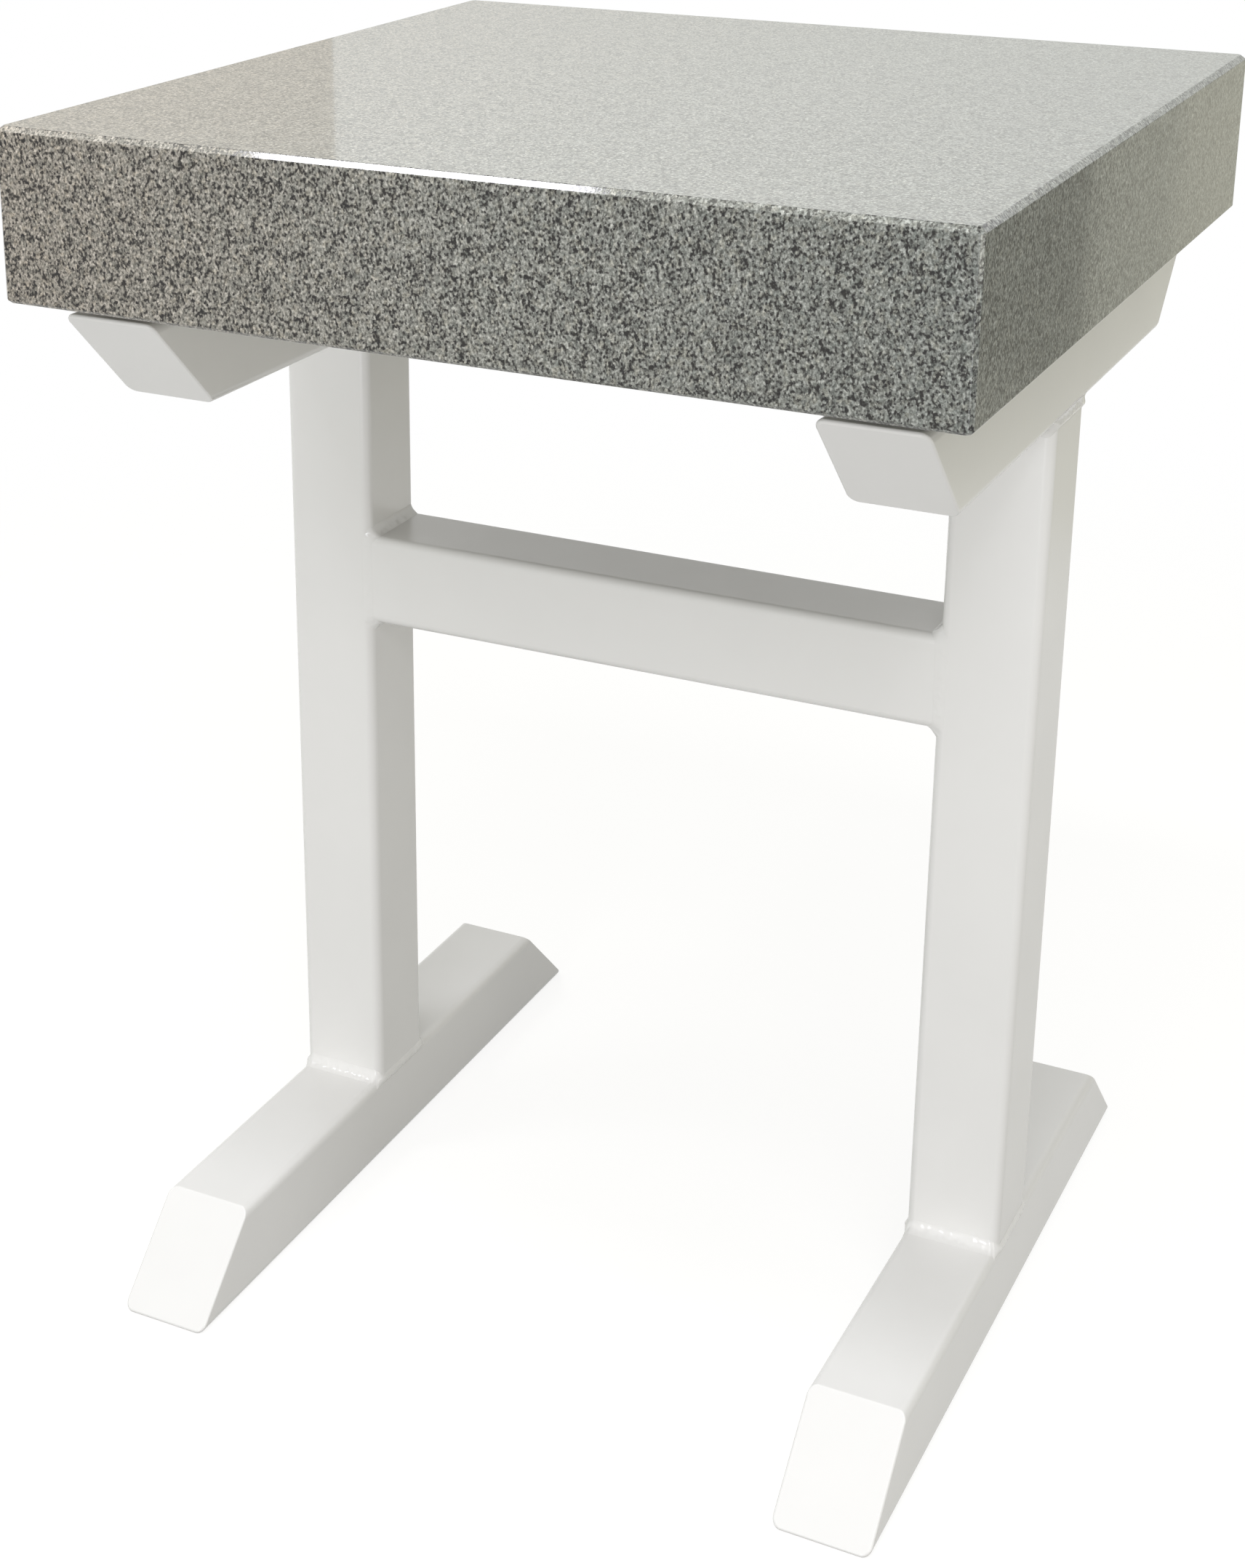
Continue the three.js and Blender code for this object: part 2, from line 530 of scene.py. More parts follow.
    def sawn(self, tree: NodeTree, colour: Node, where: NodeSocket) -> None:
        """Give the dull sawn face with the blade's faint marks.

        Args:
            tree: the material's tree.
            colour: the stone's colour.
            where: Object coordinates.
        """
        shares = {0: self.dust_share, 6: colour, 7: linear(self.dust)}
        dusty = add_node(tree, "ShaderNodeMix", shares, data_type="RGBA")
        scale = math.tau / WAVE_TURN * per_metre(self.saw_mark)
        marks = add_node(tree, "ShaderNodeTexWave", {"Vector": where, "Scale": scale, "Distortion": 1.5})
        looks = {"Base Color": dusty, "Roughness": self.dull, "IOR": self.ior}
        self.saw_relief.cover(tree, marks.outputs["Fac"], looks)


@dataclass(frozen=True)
class PowderCoat:
    """Off-white polyester powder coat, sprayed dry and baked on steel.

    The melted powder levels out to a satin film with a soft orange peel, so edges shine in broken streaks.
    Over the lumps of a weld it pools and comes out glossier, which gives small bright spots. The real peel
    is finer than a pixel, so it is drawn about twice as coarse to show.
    """

    name: str = "powder_coat_off_white_satin"
    colour: str = "#f1f0ef"
    thin_colour: str = "#edeceb"
    roughness: float = 0.25
    uneven: float = 0.04
    ior: float = 1.5
    patch: float = 45.0
    peel: float = 3.0
    peel_relief: Relief = Relief(0.12, 0.2)

    def material(self) -> Material:
        """Build the coat.

        Returns:
            The material.
        """
        material, tree, where = blank_material(self.name)
        patch, peel = (
            add_node(tree, "ShaderNodeTexNoise", {"Vector": where, "Scale": per_metre(size), "Detail": fine})
            for size, fine in ((self.patch, 2.0), (self.peel, 1.5))
        )

        # Thinner here and there, where it is a little darker and less smooth
        shades = {6: linear(self.colour), 7: linear(self.thin_colour)}
        colour = add_node(tree, "ShaderNodeMix", {0: patch, **shades}, data_type="RGBA")
        limits = {3: self.roughness - self.uneven, 4: self.roughness + self.uneven}
        gloss = add_node(tree, "ShaderNodeMapRange", {0: patch, **limits})
        self.peel_relief.cover(tree, peel, {"Base Color": colour, "Roughness": gloss, "IOR": self.ior})
        return material


@dataclass(frozen=True)
class PadRubber:
    """Black nitrile rubber, cut from moulded sheet: matt, faintly mottled, with a fine pebbled face."""

    colour: str = "#1f1f1f"
    bloom: str = "#2c2b2a"
    roughness: float = 0.82
    mottle: float = 11.0
    pebble: float = 1.2
    pebble_relief: Relief = Relief(0.15, 0.5)

    def material(self) -> Material:
        """Build the rubber.

        Returns:
            The material.
        """
        material, tree, where = blank_material("nitrile_rubber_black")
        mottle, pebbles = (
            add_node(tree, "ShaderNodeTexNoise", {"Vector": where, "Scale": per_metre(size), "Detail": fine})
            for size, fine in ((self.mottle, 3.0), (self.pebble, 2.0))
        )
        shades = {6: linear(self.colour), 7: linear(self.bloom)}
        colour = add_node(tree, "ShaderNodeMix", {0: mottle, **shades}, data_type="RGBA")
        self.pebble_relief.cover(tree, pebbles, {"Base Color": colour, "Roughness": self.roughness})
        return material


@dataclass(frozen=True)
class GraniteSlab:
    """The slab: polished, with a flat along the top edges, a sawn underside and barely rounded edges."""

    node: str = "granite_slab"
    flat: float = 3.0
    arris: float = 2.0
    edge_radius: float = 0.35
    edge_steps: int = 3
    edge_angle: float = 20.0

    def build(self, polished: Material, sawn: Material) -> Object:
        """Make the slab and dress it.

        Args:
            polished: the finish of the top and the sides.
            sawn: the finish of the underside.

        Returns:
            The piece.
        """
        low, high = span([self.node])
        skin = Skin()
        rings = []
        for height, drawn_in in (
            (low.z, self.arris),
            (low.z + self.arris, 0.0),
            (high.z - self.flat, 0.0),
            (high.z, self.flat),
        ):
            x = high.x - drawn_in
            y = high.y - drawn_in
            cut = self.arris
            corners = ((x - cut, -y), (x, cut - y), (x, y - cut), (x - cut, y))
            outline = [*corners, *((-a, -b) for a, b in corners)]
            rings.append(skin.ring((Vector((a, b, height)), Vector((0, 0, 1))) for a, b in outline))
        skin.tube(rings)
        slab = skin.to_object("polished_slab", polished, sawn)
        underside = slab.data.polygons[-2]
        underside.material_index = 1
        slab.data.attributes.remove(slab.data.attributes["custom_normal"])
        bevel = slab.modifiers.new("edges", "BEVEL")
        bevel.width = self.edge_radius * MM
        bevel.segments = self.edge_steps
        bevel.angle_limit = math.radians(self.edge_angle)
        bevel.harden_normals = True
        return seat(freeze(slab), [self.node])


@dataclass(frozen=True)
class TubeStock:
    """The square steel tube that every member of the frame is cut from."""

    side: float = 60.0
    corner: float = 6.0
    corner_steps: int = 10

    def outline(self) -> Outline:
        """The tube's section, as rounded_outline gives it."""
        return rounded_outline(self.side / 2, self.side / 2, self.corner, self.corner_steps)


@dataclass(frozen=True)
class StraightMember:
    """A post or the stretcher: tube cut square at both ends, where it is welded against its neighbours."""

    node: str
    axis: Axis
    stock: TubeStock

    def build(self, coat: Material) -> Object:
        """Make the member where its CAD node lies and dress it.

        Args:
            coat: its finish.

        Returns:
            The piece.
        """
        low, high = span([self.node])
        middle = (low + high) / 2
        reach = self.axis.place(0, 0, 1).dot(high - low) / 2
        skin = Skin()
        rings = [
            skin.ring(
                (middle + self.axis.place(u, v, end * reach), self.axis.place(out_u, out_v, 0))
                for u, v, out_u, out_v in self.stock.outline()
            )
            for end in (-1, 1)
        ]
        skin.tube(rings, self.axis.place(0, 0, 1))
        return seat(skin.to_object(f"{self.node}_tube", coat), [self.node])


@dataclass(frozen=True)
class MitredRail:
    """A foot or a beam: tube mitred at both ends, closed by plates that are welded on and ground round."""

    side: Side
    kind: RailKind
    stock: TubeStock
    mitre: float = 45.0
    rim: float = 1.6
    rim_steps: int = 6

    @property
    def nodes(self) -> list[str]:
        """The CAD nodes of the tube and its two plates."""
        tube = "foot" if self.kind is RailKind.FOOT else "top_beam"
        plates = [f"{self.side.word}_{end}_{self.kind.word}_plate" for end in ("front", "rear")]
        return [f"{self.side.word}_{tube}", *plates]

    def rim_rings(self, skin: Skin, end: int, middle: Vector, reach: float) -> list[list[int]]:
        """Round the edge between the tube's walls and one end plate.

        Args:
            skin: the mesh that gets the points.
            end: -1 for the front and 1 for the rear.
            middle: the rail's middle.
            reach: from the middle to the plate, halfway up.

        Returns:
            Rings of points, from the walls to the plate.
        """
        slope = self.kind.value * math.tan(math.radians(self.mitre))
        plate_out = Axis.Y.place(-slope, 0, end).normalized()
        rings = []
        for step in range(self.rim_steps + 1):
            share = step / self.rim_steps
            stations = []
            for u, v, out_u, out_v in self.stock.outline():
                # In the plane of the wall's normal and the tube's axis, an arc of the rim's radius touches
                # the wall and the plate, which leans by "lean" from square to the wall there
                lean = slope * out_u
                root = math.sqrt(1 + lean * lean)
                angle = math.pi + (math.atan2(1, lean) - math.pi) * share
                inset = self.rim * (1 + math.cos(angle))
                along = reach + slope * u - self.rim * (lean + root) + self.rim * math.sin(angle)
                wall_out = Axis.Y.place(out_u, out_v, 0)
                point = middle + Axis.Y.place(u - out_u * inset, v - out_v * inset, end * along)
                stations.append((point, wall_out.slerp(plate_out, share)))
            rings.append(skin.ring(stations))
        return rings

    def build(self, coat: Material) -> Object:
        """Make the rail where its CAD nodes lie and dress it.

        Args:
            coat: its finish.

        Returns:
            The piece.
        """
        low, high = span(self.nodes)
        middle = (low + high) / 2
        half_run = self.stock.side / 2 * math.tan(math.radians(self.mitre))
        reach = (high.y - low.y) / 2 - half_run
        skin = Skin()
        front = self.rim_rings(skin, -1, middle, reach)
        rear = self.rim_rings(skin, 1, middle, reach)
        skin.tube([*reversed(front), *rear])
        piece = skin.to_object(f"{self.side.word}_{self.kind.word}_rail", coat)
        return seat(piece, self.nodes)


class WeldTree:
    """Geometry Nodes that draw a lumpy weld bead along a path of edges.

    Every point of the path names the bead's two toes, the way out, and how far the crown rises between the
    toes, which is less than nothing where the bead is hollow.
    """

    SIZES = ("Step", "Sink", "Ripple Pitch", "Ripple Height", "Lump", "Lump Length", "Seed")
    VECTORS = ("upper_toe", "lower_toe", "outward")
    NUMBERS = ("rise", "along")
    RIPPLE_DRIFT = 0.8

    def __init__(self, sides: int = 24) -> None:
        """Build the tree.

        Args:
            sides: facets round the bead.
        """
        kinds = {"Path": "Geometry", **dict.fromkeys(self.SIZES, "Float"), "Coat": "Material"}
        tree, given = geometry_tree("weld_bead", kinds)
        self.tree = tree
        path = add_node(tree, "GeometryNodeMeshToCurve", {"Mesh": given["Path"]})
        path = add_node(
            tree, "GeometryNodeResampleCurve", {"Curve": path, "Length": given["Step"]}, mode="LENGTH"
        )
        ring = add_node(tree, "GeometryNodeCurvePrimitiveCircle", {"Resolution": sides, "Radius": 1.0})
        length = add_node(tree, "GeometryNodeSplineParameter").outputs["Length"]
        spot = add_node(tree, "GeometryNodeInputPosition")
        curves = {}
        for key, curve, name, value, kind in (
            ("Curve", path, "along", length, "FLOAT"),
            ("Profile Curve", ring, "turn", spot, "FLOAT_VECTOR"),
        ):
            inputs = {"Geometry": curve, "Name": name, "Value": value}
            curves[key] = add_node(tree, "GeometryNodeStoreNamedAttribute", inputs, data_type=kind)
        bead = add_node(tree, "GeometryNodeCurveToMesh", curves)

        # What the rows below start from, by name
        known: dict[Any, Node | NodeSocket] = {name: given[name] for name in self.SIZES}
        for name in (*self.VECTORS, *self.NUMBERS, "turn"):
            kind = "FLOAT" if name in self.NUMBERS else "FLOAT_VECTOR"
            known[name] = add_node(tree, "GeometryNodeInputNamedAttribute", {"Name": name}, data_type=kind)

        # One turn of the ring runs from the upper toe over the crown to the lower one, and back inside
        turn = add_node(tree, "ShaderNodeSeparateXYZ", {0: known["turn"]}).outputs
        share = add_node(tree, "ShaderNodeMath", {0: turn[0], 1: 0.5, 2: 0.5}, operation="MULTIPLY_ADD")
        toes = {4: known["lower_toe"], 5: known["upper_toe"]}
        chord = add_node(tree, "ShaderNodeMix", {"Factor": share, **toes}, data_type="VECTOR")

        # Lumps all over, and ripples that are shallow arches along the path, each ending in a crease
        scale = add_node(tree, "ShaderNodeMath", {0: 1.0, 1: given["Lump Length"]}, operation="DIVIDE")
        inputs = {"Vector": chord, "W": given["Seed"], "Scale": scale, "Detail": 1.0}
        field = add_node(tree, "ShaderNodeTexNoise", inputs, noise_dimensions="4D")
        known |= {"over": turn[1], "field": field}
        for name, operation, *values in (
            ("outside", "MAXIMUM", "over", 0.0),
            ("swing", "MULTIPLY", "outside", "outside"),
            ("behind", "MINIMUM", "over", 0.0),
            ("inside", "MULTIPLY", "behind", "Sink"),
            ("sway", "MULTIPLY_ADD", "field", 2.0, -1.0),
            ("lump", "MULTIPLY", "sway", "Lump"),
            ("even", "DIVIDE", "along", "Ripple Pitch"),
            ("phase", "MULTIPLY_ADD", "sway", self.RIPPLE_DRIFT, "even"),
            ("wave", "FRACT", "phase"),
            ("off_crest", "SUBTRACT", "wave", 0.5),
            ("square", "MULTIPLY", "off_crest", "off_crest"),
            ("arch", "MULTIPLY", "square", -4.0),
            ("rough", "MULTIPLY_ADD", "arch", "Ripple Height", "lump"),
            ("crown", "ADD", "rise", "rough"),
            ("height", "MULTIPLY_ADD", "crown", "swing", "inside"),
        ):
            inputs = {number: known.get(value, value) for number, value in enumerate(values)}
            known[name] = add_node(tree, "ShaderNodeMath", inputs, operation=operation)
        inputs = {0: known["outward"], "Scale": known["height"]}
        lift = add_node(tree, "ShaderNodeVectorMath", inputs, operation="SCALE")
        place = add_node(tree, "ShaderNodeVectorMath", {0: chord, 1: lift}, operation="ADD")
        bead = add_node(tree, "GeometryNodeSetPosition", {"Geometry": bead, "Position": place})
        bead = add_node(tree, "GeometryNodeSetShadeSmooth", {"Geometry": bead})
        bead = add_node(tree, "GeometryNodeRealizeInstances", {"Geometry": bead})
        bead = add_node(tree, "GeometryNodeSetMaterial", {"Geometry": bead, "Material": given["Coat"]})
        add_node(tree, "NodeGroupOutput", {0: bead})

    def lay(self, path: Object, sizes: Mapping[str, float], coat: Material) -> Object:
        """Turn a path into its bead.

        Args:
            path: an object whose edges are the path.
            sizes: a value for each name in SIZES, in metres where it is a length.
            coat: the bead's finish.

        Returns:
            The same object as a plain mesh that faces outwards.
        """
        mesh = grow(path, self.tree, {**sizes, "Coat": coat}).data
        for name in (*self.VECTORS, *self.NUMBERS, "turn"):
            mesh.attributes.remove(mesh.attributes[name])
        if sum(face.center.dot(face.normal) * face.area for face in mesh.polygons) < 0:
            mesh.flip_normals()
        return path


@dataclass(frozen=True)
class WeldBead:
    """The weld where the end of one tube meets the face of another of the same size.

    It is a hollow fillet where the carrying tube's face is flat, and it fills the groove that the carrying
    tube's round corners leave where the two tubes' sides are flush.
    """

    node: str
    axis: Axis
    centre: Vector
    toward: int
    seed: float
    stock: TubeStock
    leg: float = 6.7
    flat_crown: float = -1.8
    side_up: float = 2.6
    side_down: float = 4.0
    side_crown: float = 1.7
    climb: float = 0.7
    fast_climb: float = 0.31
    slow_climb: float = 0.17
    sink: float = 4.0
    step: float = 0.7
    ripple_pitch: float = 4.2
    ripple_height: float = 0.05
    lump: float = 1.0
    lump_length: float = 4.8

    def ground_flush(self) -> WeldBead:
        """Return the same bead ground down level with the tubes' sides, with straighter fillets."""
        return replace(self, leg=6.0, flat_crown=-0.7, side_up=1.5, side_down=5.7, side_crown=0.2, lump=0.5)

    def stations(self) -> list[tuple[Vector, Vector, Vector, float]]:
        """Walk round the joint.

        Returns:
            The upper toe, the lower toe, the way out and the crown's rise at each point.
        """
        half = self.stock.side / 2
        corner = self.stock.corner
        found = []
        for u, v, out_u, out_v in self.stock.outline():
            on_face = out_v * out_v
            # Laid by hand: the bead climbs a little higher here and there
            fast = math.sin(self.fast_climb * u + self.seed)
            slow = math.cos(self.slow_climb * (u + v) - self.seed)
            up = self.side_up + (self.leg - self.side_up) * on_face + self.climb * fast * slow
            crown = self.side_crown + (self.flat_crown - self.side_crown) * on_face
            # The lower toe follows the carrying tube's face, over its round corner and partly down its side
            toe_u = max(-half, min(half, u + self.leg * out_u))
            past = max(0.0, abs(toe_u) - half + corner)
            down = min(self.side_down, corner - math.sqrt(corner * corner - past * past))
            away = math.hypot(toe_u - u, self.leg * out_v)
            tilt = math.atan2(away, up + down)
            points = (
                (u, v, up),
                (toe_u, v + self.leg * out_v, -down),
                (out_u * math.cos(tilt), out_v * math.cos(tilt), math.sin(tilt)),
            )
            upper, lower, outward = (self.axis.place(a, b, -self.toward * c) for a, b, c in points)
            found.append((self.centre + upper, self.centre + lower, outward, crown))
        return found

    def path(self) -> Object:
        """Make the bead's path, a closed loop of edges that carries the toes, the way out and the rise.

        Returns:
            The path's object.
        """
        *vectors, rises = zip(*self.stations())
        count = len(rises)
        mesh = bpy.data.meshes.new(self.node)
        middles = [(upper + lower) / 2 * MM for upper, lower in zip(*vectors[:2])]
        mesh.from_pydata(middles, [(i, (i + 1) % count) for i in range(count)], [])
        for name, values, unit in zip(WeldTree.VECTORS, vectors, (MM, MM, 1.0)):
            layer = mesh.attributes.new(name, "FLOAT_VECTOR", "POINT")
            layer.data.foreach_set("vector", [part * unit for value in values for part in value])
        layer = mesh.attributes.new(WeldTree.NUMBERS[0], "FLOAT", "POINT")
        layer.data.foreach_set("value", [rise * MM for rise in rises])
        return add_object(f"{self.node}_bead", mesh)

    def build(self, tree: WeldTree, coat: Material) -> Object:
        """Lay the bead and dress it.

        Args:
            tree: the nodes that lay it.
            coat: its finish.

        Returns:
            The piece.
        """
        lengths = (self.step, self.sink, self.ripple_pitch, self.ripple_height, self.lump, self.lump_length)
        sizes = dict(zip(WeldTree.SIZES, (*(length * MM for length in lengths), self.seed)))
        return seat(tree.lay(self.path(), sizes, coat), [self.node])


@dataclass(frozen=True)
class WeldedFrame:
    """Two uprights, each a post between a foot and a beam, a stretcher, and a bead round every joint."""

    stock: TubeStock = TubeStock()

    def members(self) -> list[StraightMember | MitredRail]:
        """List the lengths of tube.

        Returns:
            The stretcher, then each upright's post, foot and beam.
        """
        found: list[StraightMember | MitredRail] = [StraightMember("stretcher", Axis.X, self.stock)]
        for side in Side:
            found.append(StraightMember(f"{side.word}_post", Axis.Z, self.stock))
            found.extend(MitredRail(side, kind, self.stock) for kind in RailKind)
        return found

    def welds(self) -> list[WeldBead]:
        """List the joints, each with its own pattern of lumps.

        Returns:
            Each upright's beads at the foot, the beam and the stretcher.
        """
        found = []
        across_low, across_high = span(["stretcher"])
        level = (across_low.z + across_high.z) / 2
        for side in Side:
            low, high = span([f"{side.word}_post"])
            x = (low.x + high.x) / 2
            end = across_low.x if side is Side.LEFT else across_high.x
            for name, axis, centre, toward, seed in (
                ("foot", Axis.Z, Vector((x, 0, low.z)), -1, 7.0),
                ("beam", Axis.Z, Vector((x, 0, high.z)), 1, 13.0),
                ("stretcher", Axis.X, Vector((end, 0, level)), side.value, 23.0),
            ):
                node = f"{side.word}_{name}_weld"
                bead = WeldBead(node, axis, centre, toward, seed + side.value, self.stock)
                found.append(bead.ground_flush() if axis is Axis.X else bead)
        return found

    def build(self, coat: Material, pooled_coat: Material) -> list[Object]:
        """Make every member and weld and dress them.

        Args:
            coat: the finish of the tubes and plates.
            pooled_coat: the finish of the welds.

        Returns:
            The pieces.
        """
        tree = WeldTree()
        pieces = [member.build(coat) for member in self.members()]
        return pieces + [weld.build(tree, pooled_coat) for weld in self.welds()]


@dataclass(frozen=True)
class RubberPads:
    """Four pads that carry the slab on the beams, with eased edges that bulge a little under the load."""

    corner: float = 5.0
    corner_steps: int = 6
    inset: float = 0.35
    ease: float = 0.9
    ease_power: int = 3
    levels: int = 8

    @property
    def nodes(self) -> list[str]:
        """The pads' CAD nodes."""
        return [f"{side.word}_{end}_pad" for side in Side for end in ("front", "rear")]

    def one(self, size: Vector) -> Object:
        """Make one pad round the origin, to be copied.

        Args:
            size: its width, length and thickness.

        Returns:
            The pad.
        """
        skin = Skin()
        rings = []
        for level in range(self.levels + 1):
            swing = math.pi * (level / self.levels - 0.5)
            flat = math.cos(swing)
            rise = math.sin(swing)
            drawn_in = self.inset + self.ease * (1 - flat) ** self.ease_power
            half_u, half_v, corner = (x - drawn_in for x in (size.x / 2, size.y / 2, self.corner))
            height = size.z / 2 * rise
            stations = [
                (Vector((u, v, height)), Vector((out_u * flat, out_v * flat, rise)))
                for u, v, out_u, out_v in rounded_outline(half_u, half_v, corner, self.corner_steps)
            ]
            rings.append(skin.ring(stations))
        skin.tube(rings, Vector((0, 0, 1)))
        return skin.to_object("pad_pattern")

    def tree(self) -> NodeTree:
        """Build the Geometry Nodes that set out copies of one pad at the corners of a rectangle.

        Returns:
            The tree.
        """
        kinds = {"Start": "Geometry", "Pad": "Object", "Pitch X": "Float", "Pitch Y": "Float"}
        kinds |= {"Level": "Vector", "Rubber": "Material"}
        tree, given = geometry_tree("pads_at_corners", kinds)
        sizes = {"Size X": given["Pitch X"], "Size Y": given["Pitch Y"]}
        corners = add_node(tree, "GeometryNodeMeshGrid", {**sizes, "Vertices X": 2, "Vertices Y": 2})
        inputs = {"Geometry": corners, "Translation": given["Level"]}
        raised = add_node(tree, "GeometryNodeTransform", inputs)
        pad = add_node(tree, "GeometryNodeObjectInfo", {"Object": given["Pad"], "As Instance": True})
        inputs = {"Points": raised, "Instance": pad.outputs["Geometry"]}
        pads = add_node(tree, "GeometryNodeInstanceOnPoints", inputs)
        pads = add_node(tree, "GeometryNodeRealizeInstances", {"Geometry": pads})
        pads = add_node(tree, "GeometryNodeSetMaterial", {"Geometry": pads, "Material": given["Rubber"]})
        add_node(tree, "NodeGroupOutput", {0: pads})
        return tree

    def build(self, rubber: Material) -> Object:
        """Make the four pads where their CAD nodes lie and dress them.

        Args:
            rubber: their finish.

        Returns:
            The piece.
        """
        first_low, first_high = span(self.nodes[:1])
        low, high = span(self.nodes)
        size = first_high - first_low
        pattern = self.one(size)
        pads = add_object("rubber_pads", bpy.data.meshes.new("rubber_pads"))
        pitch_x, pitch_y = ((high[i] - low[i] - size[i]) * MM for i in range(2))
        level = (low + high) / 2 * MM
        values = {"Pad": pattern, "Pitch X": pitch_x, "Pitch Y": pitch_y, "Level": level, "Rubber": rubber}
        grow(pads, self.tree(), values)
        bpy.data.objects.remove(pattern)
        return seat(pads, self.nodes)


@dataclass(frozen=True)
class Lamp:
    """A soft rectangular lamp, in metres and watts, which may be kept out of reflections."""

    name: str
    at: tuple[float, float, float]
    facing: tuple[float, float, float]
    width: float
    length: float
    watts: float
    colour: str = "#ffffff"
    mirrored: bool = True

    def hang(self) -> None:
        """Put the lamp into the scene."""
        light = bpy.data.lights.new(self.name, "AREA")
        light.shape = "RECTANGLE"
        light.size = self.width
        light.size_y = self.length
        light.energy = self.watts
        light.color = linear(self.colour)[:3]
        thing = add_object(self.name, light)
        thing.location = self.at
        aim = Vector(self.facing) - Vector(self.at)
        thing.rotation_euler = aim.to_track_quat("-Z", "Y").to_euler()
        thing.visible_camera = False
        thing.visible_glossy = self.mirrored


@dataclass(frozen=True)
class Card:
    """An upright glowing card that is only met by reflections, where it stands for the room round the table.

    Its sizes are in metres, and its strength runs from the lower edge to the upper one.
    """

    name: str
    behind: float
    across: tuple[float, float]
    up: tuple[float, float]
    strength: tuple[float, float]
    colour: str = "#ffffff"

    def put_up(self) -> None:
        """Put the card into the scene, facing the front."""
        left, right = self.across
        bottom, top = self.up
        dim, bright = self.strength
        material, tree, where = blank_material(self.name)
        height = add_node(tree, "ShaderNodeSeparateXYZ", {0: where}).outputs[2]
        grade = add_node(tree, "ShaderNodeMapRange", {0: height, 1: bottom, 2: top, 3: dim, 4: bright})
        glow = add_node(tree, "ShaderNodeEmission", {"Color": linear(self.colour), "Strength": grade})
        add_node(tree, "ShaderNodeOutputMaterial", {"Surface": glow})
        corners = [(left, bottom), (right, bottom), (right, top), (left, top)]
        mesh = bpy.data.meshes.new(self.name)
        mesh.from_pydata([(x, self.behind, z) for x, z in corners], [], [range(4)])
        mesh.materials.append(material)
        card = add_object(self.name, mesh)
        for way in ("camera", "diffuse", "transmission", "volume_scatter", "shadow"):
            setattr(card, f"visible_{way}", False)


@dataclass(frozen=True)
class Viewpoint:
    """The camera, by the direction that it looks from and the point that it looks at, in degrees and metres.

    The lens and the sensor are in millimetres.
    """

    azimuth: float = 26.755
    elevation: float = 19.256
    distance: float = 1.6961
    aim: tuple[float, float, float] = (-0.1178, 0.0447, 0.4642)
    lens: float = 58.98
    sensor: float = 36.0
    shift: tuple[float, float] = (0.0631, -0.1684)

    def set_up(self) -> None:
        """Make the camera and set it as the scene's."""
        camera = bpy.data.cameras.new("camera")
        camera.sensor_width = self.sensor
        camera.lens = self.lens
        camera.shift_x, camera.shift_y = self.shift
        thing = add_object("camera", camera)
        turn = math.radians(self.azimuth)
        rise = math.radians(self.elevation)
        level = math.cos(rise)
        away = Vector((math.sin(turn) * level, -math.cos(turn) * level, math.sin(rise)))
        thing.location = Vector(self.aim) + away * self.distance
        thing.rotation_euler = (-away).to_track_quat("-Z", "Y").to_euler()
        bpy.context.scene.camera = thing


def looked_at(tree: NodeTree) -> Node:
    """Tell what is looked at, straight, in a reflection or through glass, from what only gives light.

    Args:
        tree: the material's or the world's tree.

    Returns:
        A node that gives 1 where the surface or the surround is looked at.
    """
    ray = add_node(tree, "ShaderNodeLightPath").outputs
    found = ray["Is Camera Ray"]
    for other in ("Is Glossy Ray", "Is Transmission Ray"):
        found = add_node(tree, "ShaderNodeMath", {0: found, 1: ray[other]}, operation="MAXIMUM")
    return found


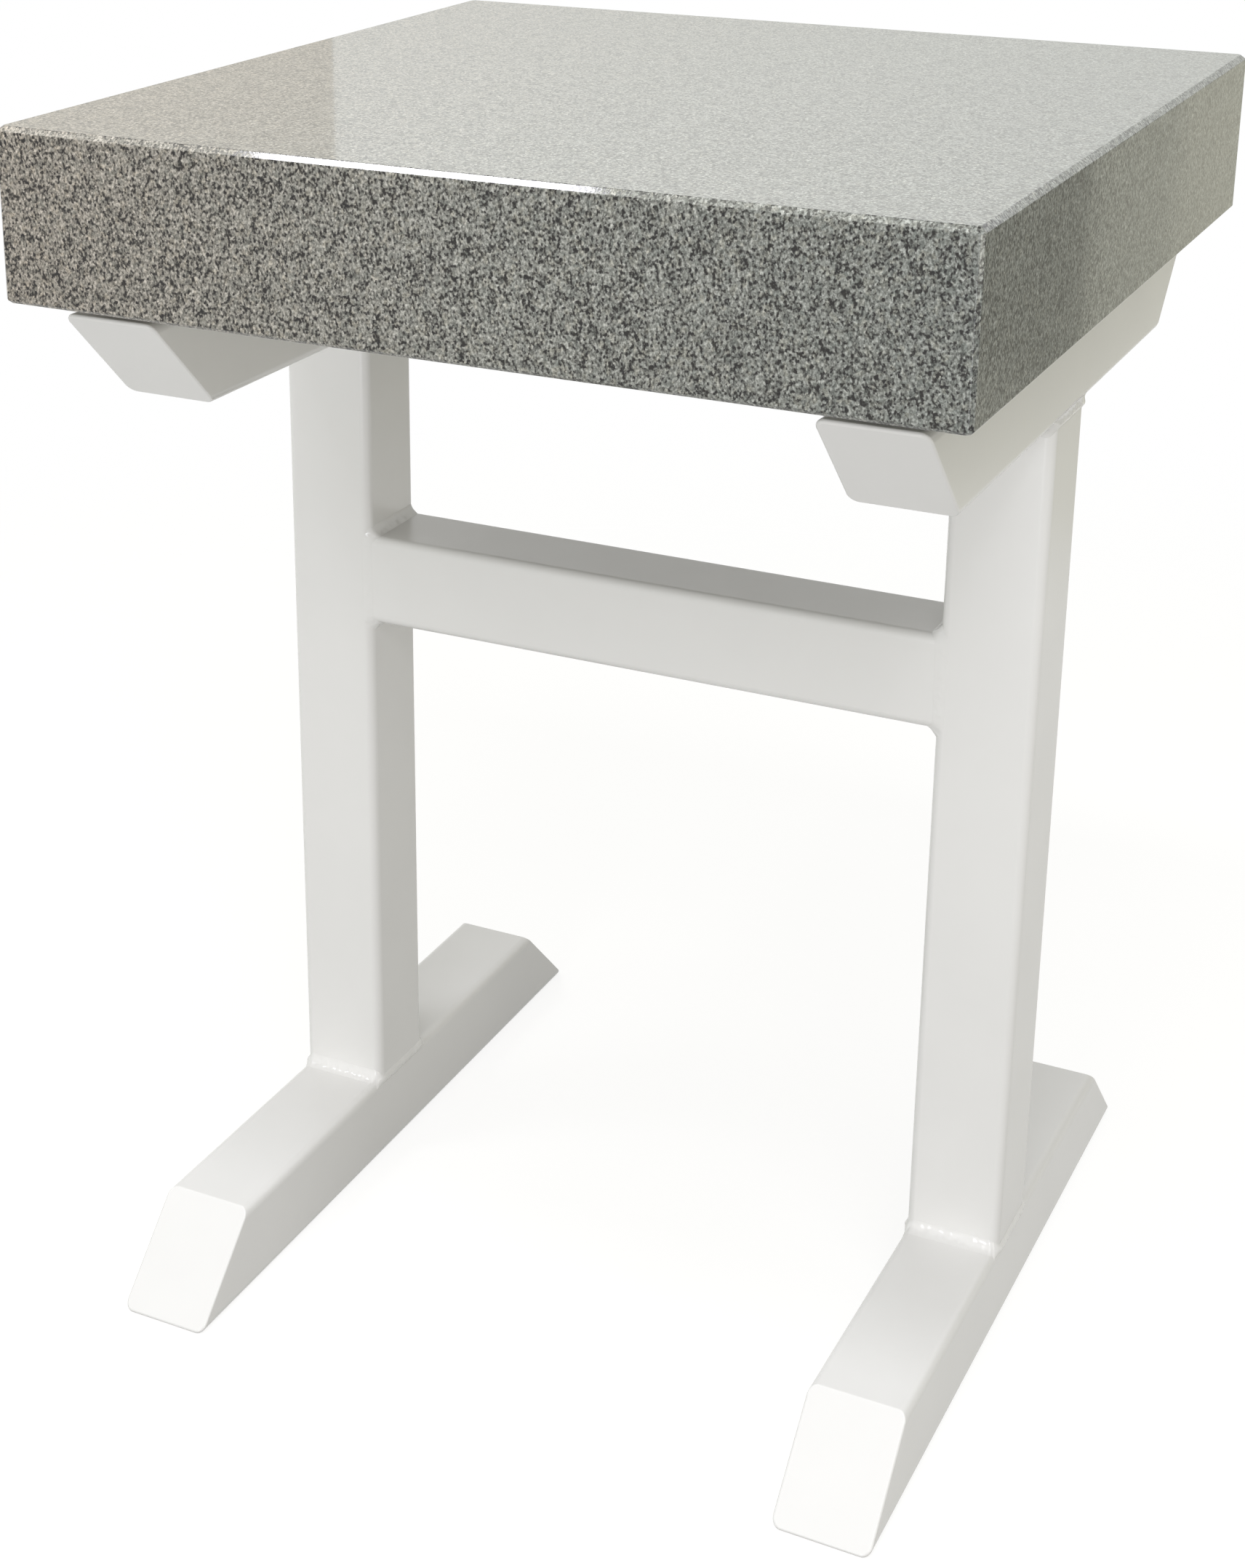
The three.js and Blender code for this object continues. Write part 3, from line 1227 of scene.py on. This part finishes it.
@dataclass(frozen=True)
class Studio:
    """A pale floor, a white surround, soft lamps, and cards that stand for the room in the polished stone.

    The flat along the slab's front mirrors the first three ceiling lamps, a bright one between two dim ones.
    """

    floor_radius: float = 2.0
    fade_from: float = 0.9
    floor_sides: int = 96
    floor_colour: str = "#8a8986"
    floor_lift: float = 0.83
    ambient: float = 0.5
    ambient_colour: str = "#fdfdf4"
    lamps: tuple[Lamp, ...] = (
        Lamp("ceiling_left", (-0.87, -0.65, 2.3), (-0.87, -0.65, 0.0), 0.46, 0.22, 7.4, "#f8f8ff"),
        Lamp("ceiling_end", (-1.4, -0.65, 2.3), (-1.4, -0.65, 0.0), 0.58, 0.22, 1.25, "#fffdf2"),
        Lamp("ceiling_middle", (-0.36, -0.65, 2.3), (-0.36, -0.65, 0.0), 0.54, 0.22, 1.0, "#fdfff4"),
        Lamp("ceiling_right", (0.55, -0.72, 2.3), (0.55, -0.72, 0.0), 1.2, 0.36, 12.8, "#f6f8ff"),
        Lamp("ceiling_front", (0.9, -1.9, 2.4), (0.0, -0.1, 0.3), 1.2, 0.8, 12.9, "#fbfaff"),
        Lamp("front_near", (0.15, -1.9, 0.45), (-0.1, 0.0, 0.4), 0.5, 0.7, 8.3, "#f8f9ff"),
        Lamp("right_low", (2.6, -1.4, 0.5), (0.0, 0.0, 0.4), 1.2, 0.8, 8.6, "#fffbee"),
        Lamp("left_low", (-2.6, -1.4, 0.6), (0.0, 0.0, 0.4), 1.2, 0.8, 11.5, "#fafff8", mirrored=False),
    )
    # The top mirrors the back walls, and the right side the three steps behind the table
    cards: tuple[Card, ...] = (
        Card("back_wall", 0.6, (-0.589, 1.2), (0.78, 1.0), (1.03, 1.42), "#fefffa"),
        Card("back_wall_left", 0.6, (-2.2, -0.589), (0.78, 1.0), (0.86, 1.1), "#fffcf2"),
        Card("back_wall_high", 0.6, (-2.2, 1.2), (1.0, 1.6), (1.4, 1.0)),
        Card("right_near", 1.2, (0.601, 3.0), (0.3, 0.8), (0.39, 0.39), "#fffeee"),
        Card("right_near_low", 1.2, (0.601, 3.0), (0.0, 0.3), (1.0, 0.39), "#fffeee"),
        Card("right_middle", 1.2, (0.516, 0.601), (0.1, 0.8), (0.69, 0.69), "#fffeec"),
        Card("right_far", 1.2, (0.3, 0.516), (0.1, 0.8), (0.82, 0.82), "#fffdea"),
    )

    def floor_paint(self) -> Material:
        """Paint the floor pale, lifted to white where it is looked at and faded into the surround far out.

        Returns:
            The material.
        """
        material, tree, where = blank_material("pale_floor_paint")
        paint = add_node(tree, "ShaderNodeBsdfDiffuse", {"Color": linear(self.floor_colour)})
        inputs = {0: looked_at(tree), 1: self.floor_lift}
        lift = add_node(tree, "ShaderNodeMath", inputs, operation="MULTIPLY")
        glow = add_node(tree, "ShaderNodeEmission", {"Strength": lift})
        lifted = add_node(tree, "ShaderNodeAddShader", {0: paint, 1: glow})
        away = add_node(tree, "ShaderNodeVectorMath", {0: where}, operation="LENGTH").outputs["Value"]
        limits = {1: self.fade_from, 2: self.floor_radius}
        fade = add_node(tree, "ShaderNodeMapRange", {0: away, **limits}, interpolation_type="SMOOTHSTEP")
        clear = add_node(tree, "ShaderNodeBsdfTransparent")
        faded = add_node(tree, "ShaderNodeMixShader", {0: fade, 1: lifted, 2: clear})
        add_node(tree, "ShaderNodeOutputMaterial", {"Surface": faded})
        return material

    def floor(self) -> None:
        """Lay the round floor, which keeps the table's shadow."""
        turns = [math.tau * i / self.floor_sides for i in range(self.floor_sides)]
        rim = [(self.floor_radius * math.cos(a), self.floor_radius * math.sin(a), 0.0) for a in turns]
        mesh = bpy.data.meshes.new("floor")
        mesh.from_pydata(rim, [], [range(self.floor_sides)])
        mesh.materials.append(self.floor_paint())
        floor = add_object("floor", mesh)

    def surround(self) -> None:
        """Make the world: an even soft light, and white wherever it is looked at."""
        world = bpy.data.worlds.new("surround")
        world.use_nodes = True
        tree = world.node_tree
        tree.nodes.clear()
        light = add_node(
            tree, "ShaderNodeBackground", {"Color": linear(self.ambient_colour), "Strength": self.ambient}
        )
        white = add_node(tree, "ShaderNodeBackground", {"Color": linear("#ffffff"), "Strength": 1.0})
        mixed = add_node(tree, "ShaderNodeMixShader", {0: looked_at(tree), 1: light, 2: white})
        add_node(tree, "ShaderNodeOutputWorld", {"Surface": mixed})
        bpy.context.scene.world = world

    def build(self) -> None:
        """Set up the floor, the surround, the lamps and the cards, at the Standard view."""
        bpy.context.scene.view_settings.view_transform = "Standard"
        self.floor()
        self.surround()
        for lamp in self.lamps:
            lamp.hang()
        for card in self.cards:
            card.put_up()


def main() -> None:
    """Build the table piece by piece and set up the studio."""
    logging.basicConfig(level=logging.INFO, format="%(name)s: %(message)s")
    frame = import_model()
    LOG.info("frame: %d nodes", len(frame["nodes"]))
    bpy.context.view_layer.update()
    Viewpoint().set_up()
    Studio().build()
    coat = PowderCoat().material()
    pooled_coat = PowderCoat("powder_coat_pooled_on_welds", roughness=0.12).material()
    polished, sawn = (Granite(surface).material() for surface in StoneSurface)
    pieces = [
        GraniteSlab().build(polished, sawn),
        *WeldedFrame().build(coat, pooled_coat),
        RubberPads().build(PadRubber().material()),
    ]
    for piece in pieces:
        LOG.info("%s: %d faces", piece.name, len(piece.data.polygons))
    bpy.context.view_layer.update()


if __name__ == "__main__":
    main()
